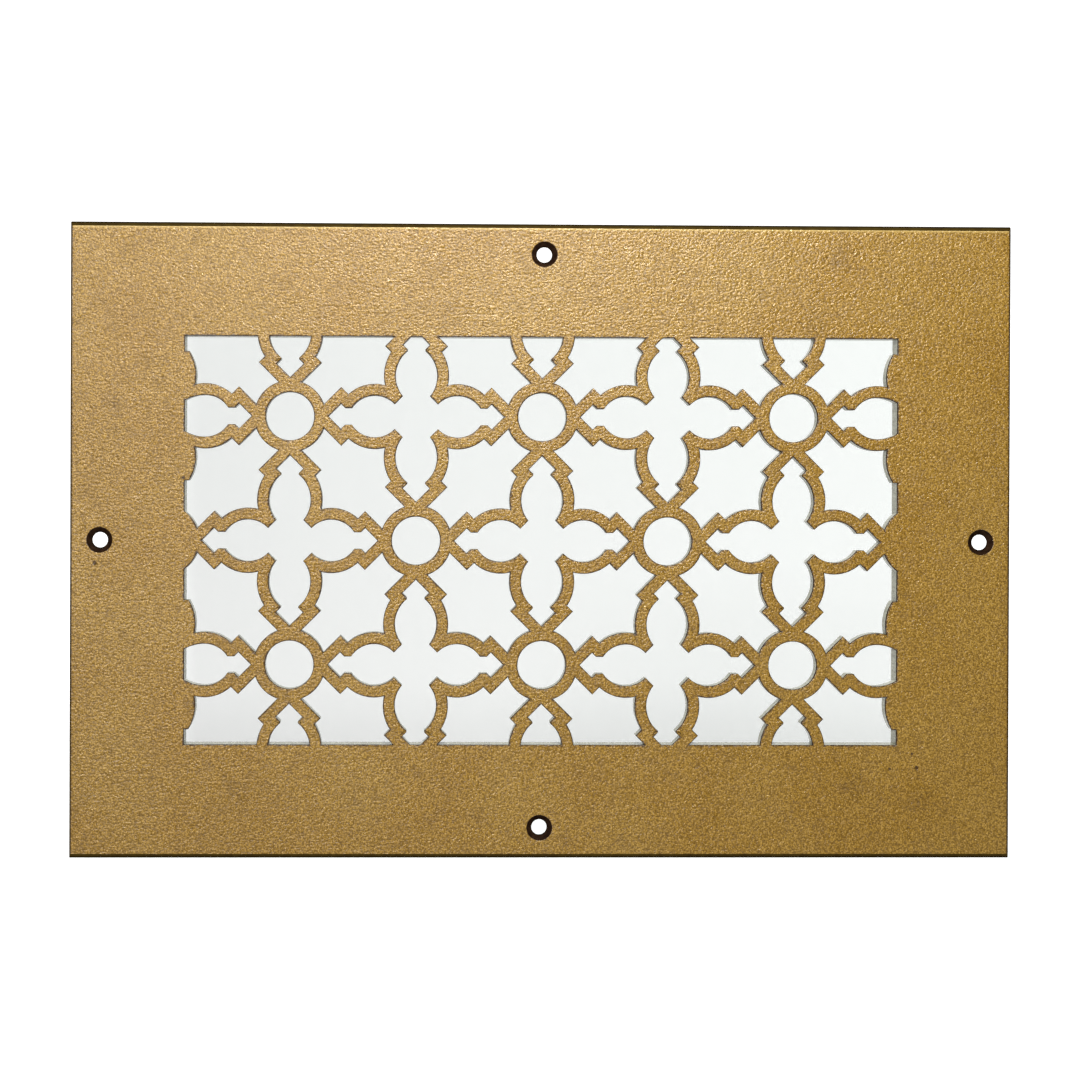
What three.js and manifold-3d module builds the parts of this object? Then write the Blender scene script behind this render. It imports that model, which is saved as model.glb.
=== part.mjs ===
// A decorative vent cover: one flat metal plate with a plain border, four countersunk screw holes
// and a pierced field of rings and pointed crosses, which is level with the border in front and
// thinner than it behind. The outline is drawn facing the viewer, X right and Y up, with the back at
// depth 0 and the front at the plate's thickness. The finished mesh is then stood up, so that Z is
// up and the front faces -Y.
import * as THREE from 'three';
import { mergeVertices } from 'three/addons/utils/BufferGeometryUtils.js';
import Module from 'manifold-3d';

// The plate, in millimetres
const plateWidth = 318;
const plateHeight = 214.6;
const plateThickness = 6.4;
const latticeThickness = 4.4;
const borderWidth = 38.4;
const longEdgeRadius = 1.6;
const shortEdgeRadius = 0.5;

// The four screw holes, one at the middle of each side
const sideScrewInset = 9.9;
const endScrewInset = 10.4;
const screwHoleRadius = 2.6;
const screwHeadRadius = 4.26;
const screwConeDepth = 1.6;
// Behind this much metal the hole is wider, back to the wall
const screwSeatThickness = 1.9;
const screwBoreRadius = 4.4;
// The upper hole stands this far right of the middle and the lower one this far left of it
const screwDrift = 0.55;

// The pierced field, a chequerboard of crosses and rings half a pitch apart
const halfPitchAcross = 42.6;
const halfPitchUp = 41.94;
const stripWidth = 4;
const ringHoleRadius = 8.13;
// From a cross's centre to the flat on the dart between two lobes
const dartDepth = 8.13;

// The two kinds of lobe. tipWall is the metal between a lobe's point and the ring's hole, and the
// other values are shares of the lobe's reach: where its belly is and how wide, the belly's radius,
// the half gap at the knop and at the notch behind it, and the half width over the outer shoulders.
const acrossStyle = {
  tipWall: 4.82,
  bellyAt: 0.472,
  bellyHalf: 0.237,
  bellyRadius: 0.31,
  knopHalf: 0.0945,
  notchHalf: 0.141,
  shoulderHalf: 0.335,
};
const uprightStyle = {
  tipWall: 5.06,
  bellyAt: 0.479,
  bellyHalf: 0.2435,
  bellyRadius: 0.379,
  knopHalf: 0.104,
  notchHalf: 0.1565,
  shoulderHalf: 0.3687,
};
// The flatter arc, as a share of the reach, where the side border cuts a cross down to one lobe
const cutBellyRadius = 0.45;

// How finely the round forms are faceted
const arcStep = THREE.MathUtils.degToRad(15);
const ringHoleSides = 24;
const ringSides = 32;
const screwSides = 24;
// How far a cutter passes the face that it cuts
const cutterOverrun = 1;
// Points closer than this are one point
const weldDistance = 1e-4;

const openingWidth = plateWidth - 2 * borderWidth;
const openingHeight = plateHeight - 2 * borderWidth;
const cutterBottom = -cutterOverrun;
const cutterTop = plateThickness + cutterOverrun;

const wasm = await Module();
wasm.setup();

function toSolid(geometry) {
  geometry.deleteAttribute('normal');
  geometry.deleteAttribute('uv');
  const welded = mergeVertices(geometry, weldDistance);
  const mesh = new wasm.Mesh({
    numProp: 3,
    vertProperties: new Float32Array(welded.attributes.position.array),
    triVerts: new Uint32Array(welded.index.array),
  });
  return new wasm.Manifold(mesh);
}

function toGeometry(solid) {
  const mesh = solid.getMesh();
  const geometry = new THREE.BufferGeometry();
  geometry.setAttribute('position', new THREE.BufferAttribute(mesh.vertProperties, 3));
  geometry.setIndex(new THREE.BufferAttribute(mesh.triVerts, 1));
  const faceted = geometry.toNonIndexed();
  faceted.computeVertexNormals();
  return faceted;
}

function cutterPrism(points, top = cutterTop) {
  const depth = top - cutterBottom;
  const geometry = new THREE.ExtrudeGeometry(new THREE.Shape(points), { depth, bevelEnabled: false });
  geometry.translate(0, 0, cutterBottom);
  return toSolid(geometry);
}

// Points of an arc from one angle to another, both ends included
function arcPoints(centre, radius, fromAngle, toAngle) {
  const steps = Math.max(1, Math.ceil(Math.abs(toAngle - fromAngle) / arcStep));
  const points = [];
  for (let i = 0; i <= steps; i += 1) {
    const angle = fromAngle + ((toAngle - fromAngle) * i) / steps;
    const x = centre.x + radius * Math.cos(angle);
    const y = centre.y + radius * Math.sin(angle);
    points.push(new THREE.Vector2(x, y));
  }
  return points;
}

// The arc between two points that lie on it
function arcBetween(centre, radius, start, end) {
  const fromAngle = start.clone().sub(centre).angle();
  const toAngle = end.clone().sub(centre).angle();
  return arcPoints(centre, radius, fromAngle, toAngle);
}

// Where the line through a point, followed in a unit direction, leaves a circle
function lineLeavesCircle(point, direction, centre, radius) {
  const offset = point.clone().sub(centre);
  const along = offset.dot(direction);
  const reach = -along + Math.sqrt(along ** 2 - offset.lengthSq() + radius ** 2);
  return point.clone().addScaledVector(direction, reach);
}

// Where two circles cross, on the side away from the cross's centre
function circlesMeet(centreA, radiusA, centreB, radiusB) {
  const between = centreB.clone().sub(centreA);
  const distance = between.length();
  const along = (distance ** 2 + radiusA ** 2 - radiusB ** 2) / (2 * distance);
  const aside = Math.sqrt(radiusA ** 2 - along ** 2);
  const unit = between.normalize();
  const sideways = new THREE.Vector2(unit.y, -unit.x);
  if (sideways.x + sideways.y < 0) {
    sideways.negate();
  }
  return centreA.clone().addScaledVector(unit, along).addScaledVector(sideways, aside);
}

// A lobe's corners, as (distance along the lobe, distance across it). Its point and its shoulders
// have straight sides at 45 degrees, and its belly is an arc inside and a parallel arc outside.
function lobeForm(halfPitch, style) {
  const reach = halfPitch - ringHoleRadius - style.tipWall;
  const outerReach = reach + Math.SQRT2 * stripWidth;
  const bellyAt = style.bellyAt * reach;
  const bellyHalf = style.bellyHalf * reach;
  const knopHalf = style.knopHalf * reach;
  const notchHalf = style.notchHalf * reach;
  const shoulderHalf = style.shoulderHalf * reach;
  const innerRadius = style.bellyRadius * reach;
  const outerRadius = innerRadius + stripWidth;
  const centre = new THREE.Vector2(bellyAt, bellyHalf - innerRadius);

  const notch = new THREE.Vector2(reach - notchHalf, notchHalf);
  const knop = new THREE.Vector2(notch.x - (notchHalf - knopHalf), knopHalf);
  const knopRise = knopHalf - centre.y;
  const knopEnd = new THREE.Vector2(bellyAt + Math.sqrt(innerRadius ** 2 - knopRise ** 2), knopHalf);
  // The dart's flat and the shoulder's back face both run at 45 degrees to the arcs
  const outwards = new THREE.Vector2(1, 1).normalize();
  const aside = new THREE.Vector2(-1, 1).normalize();
  const dartMiddle = outwards.clone().multiplyScalar(dartDepth);
  const dartCorner = lineLeavesCircle(dartMiddle, aside, centre, innerRadius);
  const shoulder = new THREE.Vector2(outerReach - shoulderHalf, shoulderHalf);
  const outerNotch = lineLeavesCircle(shoulder, outwards, centre, outerRadius);
  return {
    reach,
    outerReach,
    bellyAt,
    bellyHalf,
    centre,
    innerRadius,
    outerRadius,
    notch,
    knop,
    knopEnd,
    dartCorner,
    shoulder,
    outerNotch,
  };
}

const across = lobeForm(halfPitchAcross, acrossStyle);
const upright = lobeForm(halfPitchUp, uprightStyle);

// Swaps along and across, which turns a point of an upright lobe into x and y
const swap = (point) => new THREE.Vector2(point.y, point.x);
// Where the outsides of two neighbouring lobes meet
const armpit = circlesMeet(
  across.centre,
  across.outerRadius,
  swap(upright.centre),
  upright.outerRadius,
);

// Half of a lobe's opening, from its point back to the dart's corner
function innerHalf(lobe) {
  return [
    new THREE.Vector2(lobe.reach, 0),
    lobe.notch,
    lobe.knop,
    ...arcBetween(lobe.centre, lobe.innerRadius, lobe.knopEnd, lobe.dartCorner),
  ];
}

// Half of a lobe's outside, from its point back to where two lobes meet
function outerHalf(lobe, armpitPoint) {
  return [
    new THREE.Vector2(lobe.outerReach, 0),
    lobe.shoulder,
    ...arcBetween(lobe.centre, lobe.outerRadius, lobe.outerNotch, armpitPoint),
  ];
}

// Half of the outside of a lobe that ends square at its outer notch
function cutOuterHalf(lobe, armpitPoint) {
  return [
    new THREE.Vector2(lobe.outerNotch.x, 0),
    ...arcBetween(lobe.centre, lobe.outerRadius, lobe.outerNotch, armpitPoint),
  ];
}

// The outline of a whole cross from its first quadrant, mirrored into the other three
function mirrorQuadrant(quadrant) {
  const points = [];
  const mirrors = [[1, 1], [-1, 1], [-1, -1], [1, -1]];
  mirrors.forEach(([mirrorX, mirrorY]) => {
    const part = quadrant.map((p) => new THREE.Vector2(p.x * mirrorX, p.y * mirrorY));
    if (mirrorX * mirrorY < 0) {
      part.reverse();
    }
    points.push(...part.slice(0, -1));
  });
  return points;
}

function quadrantFrom(acrossHalf, uprightHalf) {
  return [...acrossHalf, ...uprightHalf.map(swap).reverse()];
}

const wholeOpening = mirrorQuadrant(quadrantFrom(innerHalf(across), innerHalf(upright)));
const wholeBody = mirrorQuadrant(
  quadrantFrom(
    outerHalf(across, armpit),
    outerHalf(upright, swap(armpit)).slice(0, -1),
  ),
);
const cutBody = mirrorQuadrant(
  quadrantFrom(
    outerHalf(across, armpit),
    cutOuterHalf(upright, swap(armpit)).slice(0, -1),
  ),
);

function hidesUprights(hidden) {
  return hidden >= upright.bellyHalf;
}

// The one lobe that is pierced where the side border covers the rest of the cross: facing +X, with
// a flatter arc from the widest place of its belly back under the border
function cutOpening(hidden) {
  const radius = cutBellyRadius * across.reach;
  const belly = new THREE.Vector2(across.bellyAt, across.bellyHalf);
  const flatCentre = new THREE.Vector2(across.bellyAt, across.bellyHalf - radius);
  const sweep = Math.asin((across.bellyAt - hidden + cutterOverrun) / radius);
  const half = [
    new THREE.Vector2(across.reach, 0),
    across.notch,
    across.knop,
    ...arcBetween(across.centre, across.innerRadius, across.knopEnd, belly),
    ...arcPoints(flatCentre, radius, Math.PI / 2, Math.PI / 2 + sweep).slice(1),
  ];
  const mirrored = half.slice(1).map((p) => new THREE.Vector2(p.x, -p.y)).reverse();
  return [...half, ...mirrored];
}

function circleOutline(radius, sides) {
  const points = [];
  for (let i = 0; i < sides; i += 1) {
    const angle = ((i + 0.5) / sides) * 2 * Math.PI;
    points.push(new THREE.Vector2(Math.cos(angle), Math.sin(angle)).multiplyScalar(radius));
  }
  return points;
}

function placed(points, x, y, facing = 1) {
  const moved = points.map((p) => new THREE.Vector2(x + facing * p.x, y + p.y));
  return facing < 0 ? moved.reverse() : moved;
}

function rectangle(width, height) {
  return [
    new THREE.Vector2(-width / 2, -height / 2),
    new THREE.Vector2(width / 2, -height / 2),
    new THREE.Vector2(width / 2, height / 2),
    new THREE.Vector2(-width / 2, height / 2),
  ];
}

// The crosses and rings whose metal reaches into the opening, with how far each one's centre is
// hidden by the border
function latticePlaces() {
  const crosses = [];
  const rings = [];
  const columns = Math.ceil(openingWidth / 2 / halfPitchAcross) + 1;
  const rows = Math.ceil(openingHeight / 2 / halfPitchUp) + 1;
  for (let row = -rows; row <= rows; row += 1) {
    for (let column = -columns; column <= columns; column += 1) {
      const x = column * halfPitchAcross;
      const y = row * halfPitchUp;
      const hiddenX = Math.abs(x) - openingWidth / 2;
      const hiddenY = Math.abs(y) - openingHeight / 2;
      const reach = (row + column) % 2 === 0 ? across.outerReach : ringHoleRadius + stripWidth;
      if (hiddenX < reach && hiddenY < reach) {
        const place = { x, y, hiddenX, hiddenY };
        const list = (row + column) % 2 === 0 ? crosses : rings;
        list.push(place);
      }
    }
  }
  return { crosses, rings };
}

// Everything that is pierced through the plate inside the border. Where the side border hides a
// cross's upright lobes, their metal ends at its notch and only the lobe across is pierced. A ring
// that the border cuts isn't pierced.
function piercedField() {
  const { crosses, rings } = latticePlaces();
  let metal = null;
  const addMetal = (points) => {
    const solid = cutterPrism(points);
    metal = metal === null ? solid : metal.add(solid);
  };
  crosses.forEach(({ x, y, hiddenX }) => {
    addMetal(placed(hidesUprights(hiddenX) ? cutBody : wholeBody, x, y));
  });
  rings.forEach(({ x, y }) => {
    addMetal(placed(circleOutline(ringHoleRadius + stripWidth, ringSides), x, y));
  });
  crosses.forEach(({ x, y, hiddenX }) => {
    const showsBelly = hiddenX < across.bellyAt;
    const isCut = hidesUprights(hiddenX) && showsBelly;
    const outline = isCut ? cutOpening(hiddenX) : wholeOpening;
    metal = metal.subtract(cutterPrism(placed(outline, x, y, isCut ? -Math.sign(x) : 1)));
  });
  rings.forEach(({ x, y, hiddenX, hiddenY }) => {
    if (Math.max(hiddenX, hiddenY) <= -ringHoleRadius) {
      const hole = placed(circleOutline(ringHoleRadius, ringHoleSides), x, y);
      metal = metal.subtract(cutterPrism(hole));
    }
  });
  return cutterPrism(rectangle(openingWidth, openingHeight)).subtract(metal);
}

// The step behind the pierced field, down from the border's back
function latticeRecess() {
  return cutterPrism(rectangle(openingWidth, openingHeight), plateThickness - latticeThickness);
}

// The section of a plate of this width, from the back up, with its two front corners rounded
function roundedSection(width, radius, bottom) {
  const right = new THREE.Vector2(width / 2 - radius, plateThickness - radius);
  const left = new THREE.Vector2(-right.x, right.y);
  return new THREE.Shape([
    new THREE.Vector2(-width / 2, bottom),
    new THREE.Vector2(width / 2, bottom),
    ...arcPoints(right, radius, 0, Math.PI / 2),
    ...arcPoints(left, radius, Math.PI / 2, Math.PI),
  ]);
}

function blankPlate() {
  const depth = 2 * (plateWidth + plateHeight);
  const options = { depth, bevelEnabled: false };
  const xAxis = new THREE.Vector3(1, 0, 0);
  const yAxis = new THREE.Vector3(0, 1, 0);
  const zAxis = new THREE.Vector3(0, 0, 1);

  const alongX = new THREE.ExtrudeGeometry(roundedSection(plateHeight, longEdgeRadius, 0), options);
  alongX.translate(0, 0, -depth / 2);
  alongX.applyMatrix4(new THREE.Matrix4().makeBasis(yAxis, zAxis, xAxis));

  const section = roundedSection(plateWidth, shortEdgeRadius, cutterBottom);
  const alongY = new THREE.ExtrudeGeometry(section, options);
  alongY.translate(0, 0, -depth / 2);
  alongY.applyMatrix4(new THREE.Matrix4().makeBasis(xAxis, zAxis, yAxis.clone().negate()));
  return toSolid(alongX).intersect(toSolid(alongY));
}

function screwCutter(x, y) {
  const spread = (screwHeadRadius - screwHoleRadius) / screwConeDepth;
  const profile = [
    new THREE.Vector2(0, cutterBottom),
    new THREE.Vector2(screwBoreRadius, cutterBottom),
    new THREE.Vector2(screwBoreRadius, plateThickness - screwSeatThickness),
    new THREE.Vector2(screwHoleRadius, plateThickness - screwSeatThickness),
    new THREE.Vector2(screwHoleRadius, plateThickness - screwConeDepth),
    new THREE.Vector2(screwHeadRadius + spread * cutterOverrun, cutterTop),
    new THREE.Vector2(0, cutterTop),
  ];
  const geometry = new THREE.LatheGeometry(profile, screwSides);
  geometry.rotateX(Math.PI / 2);
  geometry.translate(x, y, 0);
  return toSolid(geometry);
}

function ventCover() {
  const sideX = plateWidth / 2 - sideScrewInset;
  const endY = plateHeight / 2 - endScrewInset;
  const screwPlaces = [[-sideX, 0], [sideX, 0], [screwDrift, endY], [-screwDrift, -endY]];
  let solid = blankPlate().subtract(piercedField()).subtract(latticeRecess());
  screwPlaces.forEach(([x, y]) => {
    solid = solid.subtract(screwCutter(x, y));
  });
  const coat = new THREE.MeshStandardMaterial({ color: 0xb79963, roughness: 0.55, metalness: 0.6 });
  const mesh = new THREE.Mesh(toGeometry(solid), coat);
  mesh.name = 'vent_cover';
  return mesh;
}

// The origin is on the back, at the middle of the upper border
const cover = ventCover();
cover.rotation.x = Math.PI / 2;
cover.position.z = -(plateHeight - borderWidth) / 2;

const part = new THREE.Group();
part.add(cover);

export default part;
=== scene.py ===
import math

import bmesh
import bpy
import numpy as np
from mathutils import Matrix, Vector
from mathutils.geometry import tessellate_polygon


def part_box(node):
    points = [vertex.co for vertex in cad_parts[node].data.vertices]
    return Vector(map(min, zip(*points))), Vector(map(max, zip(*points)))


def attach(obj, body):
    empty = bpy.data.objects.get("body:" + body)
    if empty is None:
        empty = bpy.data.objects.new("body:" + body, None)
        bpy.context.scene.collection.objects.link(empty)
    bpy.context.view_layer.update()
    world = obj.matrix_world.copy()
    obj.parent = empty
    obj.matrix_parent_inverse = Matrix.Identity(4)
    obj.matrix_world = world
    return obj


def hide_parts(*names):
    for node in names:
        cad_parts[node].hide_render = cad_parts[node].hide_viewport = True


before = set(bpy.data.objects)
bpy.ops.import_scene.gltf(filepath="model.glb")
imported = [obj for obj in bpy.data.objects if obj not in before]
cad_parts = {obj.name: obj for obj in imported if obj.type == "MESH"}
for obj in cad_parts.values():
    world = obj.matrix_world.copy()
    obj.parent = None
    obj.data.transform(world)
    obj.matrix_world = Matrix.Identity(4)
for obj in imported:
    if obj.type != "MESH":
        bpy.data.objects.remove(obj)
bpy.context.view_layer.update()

mm = 0.001

# The flat plate; sizes in millimetres
plate = {
    "border": 38.4,
    "latticeThickness": 4.4,        # level with the border in front, thinner behind
    "longEdgeRadius": 1.6,
    "shortEdgeRadius": 0.5,
    "edgeDepths": [0.0, 0.03, 0.1, 0.2, 0.36, 0.55, 0.8, 1.15, 1.6],
    "edgeWearDepth": 0.25,          # the outer edge's coat is worn off at this depth
    "cutEdgeRadius": 0.34,
    "cutEdgeSteps": 4,
    "cutEdgeWear": 0.6,             # where the rounding starts; its lower end is bare
    "wearWidth": 1.0,
    "lineDepth": 0.7,               # the wall's own paint starts here, below a dark band
    "sharpAngle": 32,
}
plateLow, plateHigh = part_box("vent_cover")
plateWidth = (plateHigh.x - plateLow.x) / mm
plateHeight = (plateHigh.z - plateLow.z) / mm
plateThickness = (plateHigh.y - plateLow.y) / mm
middleUp = (plateHigh.z + plateLow.z) / 2
openingWidth = plateWidth - 2 * plate["border"]
openingHeight = plateHeight - 2 * plate["border"]

# The countersunk holes, one at the middle of each side
screwHoles = {
    "sideInset": 9.9,
    "endInset": 10.4,
    "holeRadius": 2.6,
    "headRadius": 4.26,
    "coneDepth": 1.6,
    "seatThickness": 1.9,           # behind this the hole is wider, back to the wall
    "boreRadius": 4.4,
    "drift": 0.55,                  # the upper hole is right of the middle and the lower one left
    "lipRadius": 0.18,
    "lipCurve": [(1, 0, 0.5), (0.3, 0.25, 1), (-0.6, 1, 1)],    # inset and depth in radii, wear
    "wornRing": 0.5,
    "sides": 72,
}

# Depths of the cutting shapes, each different so that no two end in one plane
cutterDepths = {
    "field": 16,
    "body": 18,
    "opening": 18.4,
    "ring": 19,
    "ringHole": 20,
    "screw": 21,
}

# How finely the pierced plan is read back from its mesh
reading = {
    "weldDistance": 0.002,
    "facingFront": 0.99,
    "shortestSide": 0.12,
    "leastTurn": 0.002,
    "longestMitre": 2.6,
    "borderNear": 0.13,
    "samePlace": 1.0,
}

# The pierced pattern, crosses and rings half a pitch apart
pattern = {
    "pitchAcross": 42.6,
    "pitchUp": 41.94,
    "strip": 4.0,
    "ringHole": 8.13,
    "dartDepth": 8.13,
    "columns": 7,                   # both counts odd, so odd and even places alternate
    "rows": 5,
    "ringSides": 96,
    "arcStep": 4.5,
    "cutBelly": 0.45,
    "overrun": 1.0,                 # how far the side lobes' cutter goes on under the border
    "across": {
        "tipWall": 4.82,
        "bellyAt": 0.472,
        "bellyHalf": 0.237,
        "bellyRadius": 0.31,
        "knopHalf": 0.0945,
        "notchHalf": 0.141,
        "shoulderHalf": 0.335,
    },
    "upright": {
        "tipWall": 5.06,
        "bellyAt": 0.479,
        "bellyHalf": 0.2435,
        "bellyRadius": 0.379,
        "knopHalf": 0.104,
        "notchHalf": 0.1565,
        "shoulderHalf": 0.3687,
    },
}


# outlines of the crosses, drawn with X along a lobe and Y across it

def arcPoints(centre, radius, start, end):
    steps = max(1, math.ceil(abs(end - start) / math.radians(pattern["arcStep"])))
    angles = [start + (end - start) * i / steps for i in range(steps + 1)]
    return [centre + radius * Vector((math.cos(a), math.sin(a))) for a in angles]


def arcBetween(centre, radius, start, end):
    fromAngle = math.atan2(*(start - centre).yx) % math.tau
    toAngle = math.atan2(*(end - centre).yx) % math.tau
    return arcPoints(centre, radius, fromAngle, toAngle)


def lineLeavesCircle(point, direction, centre, radius):
    offset = point - centre
    along = offset.dot(direction)
    return point + direction * (math.sqrt(along ** 2 - offset.length_squared + radius ** 2) - along)


def circlesMeet(centreA, radiusA, centreB, radiusB):
    between = centreB - centreA
    along = (between.length ** 2 + radiusA ** 2 - radiusB ** 2) / (2 * between.length)
    unit = between.normalized()
    sideways = Vector((unit.y, -unit.x))
    if sideways.x + sideways.y < 0:
        sideways = -sideways
    return centreA + unit * along + sideways * math.sqrt(radiusA ** 2 - along ** 2)


def lobeForm(halfPitch, style):
    strip = pattern["strip"]
    reach = halfPitch - pattern["ringHole"] - style["tipWall"]
    outerReach = reach + math.sqrt(2) * strip
    bellyAt, bellyHalf = style["bellyAt"] * reach, style["bellyHalf"] * reach
    knopHalf, notchHalf = style["knopHalf"] * reach, style["notchHalf"] * reach
    shoulderHalf = style["shoulderHalf"] * reach
    inner = style["bellyRadius"] * reach
    outer = inner + strip
    centre = Vector((bellyAt, bellyHalf - inner))
    outwards = Vector((1, 1)).normalized()
    aside = Vector((-1, 1)).normalized()
    shoulder = Vector((outerReach - shoulderHalf, shoulderHalf))
    return {
        "reach": reach,
        "outerReach": outerReach,
        "bellyAt": bellyAt,
        "bellyHalf": bellyHalf,
        "centre": centre,
        "inner": inner,
        "outer": outer,
        "notch": Vector((reach - notchHalf, notchHalf)),
        "knop": Vector((reach - 2 * notchHalf + knopHalf, knopHalf)),
        "knopEnd": Vector((bellyAt + math.sqrt(inner ** 2 - (knopHalf - centre.y) ** 2), knopHalf)),
        "dartCorner": lineLeavesCircle(outwards * pattern["dartDepth"], aside, centre, inner),
        "shoulder": shoulder,
        "outerNotch": lineLeavesCircle(shoulder, outwards, centre, outer),
    }


across = lobeForm(pattern["pitchAcross"], pattern["across"])
upright = lobeForm(pattern["pitchUp"], pattern["upright"])


def swap(point):
    return Vector((point.y, point.x))


armpit = circlesMeet(across["centre"], across["outer"], swap(upright["centre"]), upright["outer"])


def innerHalf(lobe):
    belly = arcBetween(lobe["centre"], lobe["inner"], lobe["knopEnd"], lobe["dartCorner"])
    return [Vector((lobe["reach"], 0)), lobe["notch"], lobe["knop"], *belly]


def outerHalf(lobe, pit):
    belly = arcBetween(lobe["centre"], lobe["outer"], lobe["outerNotch"], pit)
    return [Vector((lobe["outerReach"], 0)), lobe["shoulder"], *belly]


def cutOuterHalf(lobe, pit):
    belly = arcBetween(lobe["centre"], lobe["outer"], lobe["outerNotch"], pit)
    return [Vector((lobe["outerNotch"].x, 0)), *belly]


def mirrorQuadrant(quadrant):
    points = []
    for mirrorX, mirrorY in ((1, 1), (-1, 1), (-1, -1), (1, -1)):
        part = [Vector((p.x * mirrorX, p.y * mirrorY)) for p in quadrant]
        if mirrorX * mirrorY < 0:
            part.reverse()
        points += part[:-1]
    return points


def wholeCross(acrossHalf, uprightHalf):
    return mirrorQuadrant(acrossHalf + [swap(p) for p in reversed(uprightHalf)])


def sideOpening():
    # the one pierced lobe of a cross at the side border, flatter back from its widest place
    hidden = (pattern["columns"] - 1) / 2 * pattern["pitchAcross"] - openingWidth / 2
    radius = pattern["cutBelly"] * across["reach"]
    belly = Vector((across["bellyAt"], across["bellyHalf"]))
    flatCentre = Vector((across["bellyAt"], across["bellyHalf"] - radius))
    sweep = math.asin((across["bellyAt"] - hidden + pattern["overrun"]) / radius)
    half = [Vector((across["reach"], 0)), across["notch"], across["knop"]]
    half += arcBetween(across["centre"], across["inner"], across["knopEnd"], belly)
    half += arcPoints(flatCentre, radius, math.pi / 2, math.pi / 2 + sweep)[1:]
    return half + [Vector((p.x, -p.y)) for p in reversed(half[1:])]


outlines = {
    "wholeBody": wholeCross(outerHalf(across, armpit), outerHalf(upright, swap(armpit))[:-1]),
    "sideBody": wholeCross(outerHalf(across, armpit), cutOuterHalf(upright, swap(armpit))[:-1]),
    "wholeOpening": wholeCross(innerHalf(across), innerHalf(upright)),
    "sideOpening": sideOpening(),
}


def cutterObject(name, depth):
    # a prism in drawing space, its depth along Z, used only as input of the node tree
    bm = bmesh.new()
    ring = [bm.verts.new((p.x * mm, p.y * mm, -depth / 2 * mm)) for p in outlines[name]]
    face = bm.faces.new(ring)
    bm.normal_update()
    if face.normal.z > 0:
        face.normal_flip()
    grown = bmesh.ops.extrude_face_region(bm, geom=[face], use_keep_orig=True)
    moved = [v for v in grown["geom"] if isinstance(v, bmesh.types.BMVert)]
    bmesh.ops.translate(bm, verts=moved, vec=(0, 0, depth * mm))
    bmesh.ops.recalc_face_normals(bm, faces=bm.faces)
    mesh = bpy.data.meshes.new(name)
    bm.to_mesh(mesh)
    bm.free()
    return bpy.data.objects.new(name, mesh)


def screwPlaces():
    sideX = plateWidth / 2 - screwHoles["sideInset"]
    endY = plateHeight / 2 - screwHoles["endInset"]
    return [(-sideX, 0), (sideX, 0), (screwHoles["drift"], endY), (-screwHoles["drift"], -endY)]


# the node tree that pierces the plate

class TreeMaker:
    def __init__(self, name):
        self.tree = bpy.data.node_groups.new(name, "GeometryNodeTree")
        self.tree.is_modifier = True
        self.tree.interface.new_socket("Geometry", in_out="OUTPUT", socket_type="NodeSocketGeometry")
        self.inputs = self.tree.nodes.new("NodeGroupInput")
        self.column = 0

    def addInput(self, name, kind):
        socket = self.tree.interface.new_socket(name, in_out="INPUT", socket_type="NodeSocket" + kind)
        return socket.identifier

    def given(self, name):
        return self.inputs.outputs[name]

    def node(self, kind, links=(), **settings):
        made = self.tree.nodes.new(kind)
        self.column += 1            # the nodes stand in rows of twelve
        made.location = (self.column % 12 * 190, -(self.column // 12) * 260)
        for key, value in settings.items():
            setattr(made, key, value)
        for socket, source in dict(links).items():
            self.feed(made.inputs[socket], source)
        return made

    def feed(self, socket, source):
        if isinstance(source, bpy.types.NodeSocket):
            self.tree.links.new(source, socket)
        else:
            socket.default_value = source

    def math(self, operation, a, b):
        return self.node("ShaderNodeMath", {0: a, 1: b}, operation=operation).outputs[0]

    def both(self, a, b):
        return self.node("FunctionNodeBooleanMath", {0: a, 1: b}, operation="AND").outputs[0]

    def boolean(self, operation, base, *cutters):
        made = self.node("GeometryNodeMeshBoolean", operation=operation, solver="EXACT")
        if base is not None:
            self.tree.links.new(base, made.inputs[0])
        for cutter in cutters:
            self.tree.links.new(cutter, made.inputs[1])
        return made.outputs[0]


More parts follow.
